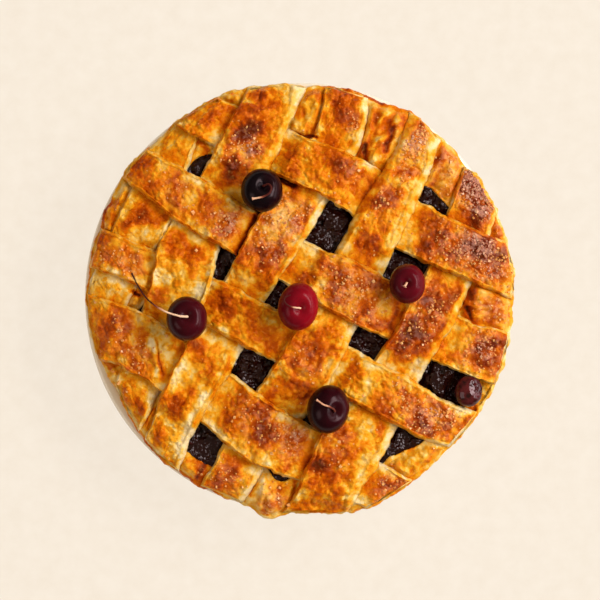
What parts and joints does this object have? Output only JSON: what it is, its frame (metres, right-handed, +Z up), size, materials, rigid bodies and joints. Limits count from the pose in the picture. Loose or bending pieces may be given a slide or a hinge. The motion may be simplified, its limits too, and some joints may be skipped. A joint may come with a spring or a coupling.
{
  "type": "cherry pie",
  "caption": "Whole lattice-topped cherry pie baked in a round white dish, with fresh cherries and their stems set on the woven pastry.",
  "frame": {"origin": "centre of the dish's foot, on the table", "axes": "+Z up out of the pie; the strips of one set run from the upper left (-X +Y) to the lower right (+X -Y), the others from the upper right (+X +Y) to the lower left (-X -Y)"},
  "size_m": [0.232, 0.2348, 0.0811],
  "materials": {
    "glazed_dish": "white glazed stoneware, smooth and glossy",
    "baked_crust": "baked pastry with egg wash, golden to dark brown, half glossy",
    "cherry_filling": "dark cooked cherries in thick syrup, wet and glossy",
    "cherry_skin": "fresh dark red cherry skin, smooth and glossy",
    "cherry_stem": "dry woody cherry stem, pale to reddish brown",
    "sugar": "coarse sugar crystals, clear to caramel"
  },
  "bodies": {
    "root": {"dish": "glazed_dish", "crust_base": "baked_crust", "filling": "cherry_filling", "strip_down_1": "baked_crust", "strip_down_2": "baked_crust", "strip_down_3": "baked_crust", "strip_down_4": "baked_crust", "strip_up_0": "baked_crust", "strip_up_1": "baked_crust", "strip_up_2": "baked_crust", "strip_up_3": "baked_crust", "strip_up_4": "baked_crust", "cherry_1": "cherry_skin", "cherry_2": "cherry_skin", "cherry_3": "cherry_skin", "cherry_4": "cherry_skin", "cherry_5": "cherry_skin", "filling_cherry": "cherry_filling", "stem_1": "cherry_stem", "stem_2": "cherry_stem", "stem_3": "cherry_stem", "stem_4": "cherry_stem", "stem_5": "cherry_stem"}
  },
  "joints": []
}
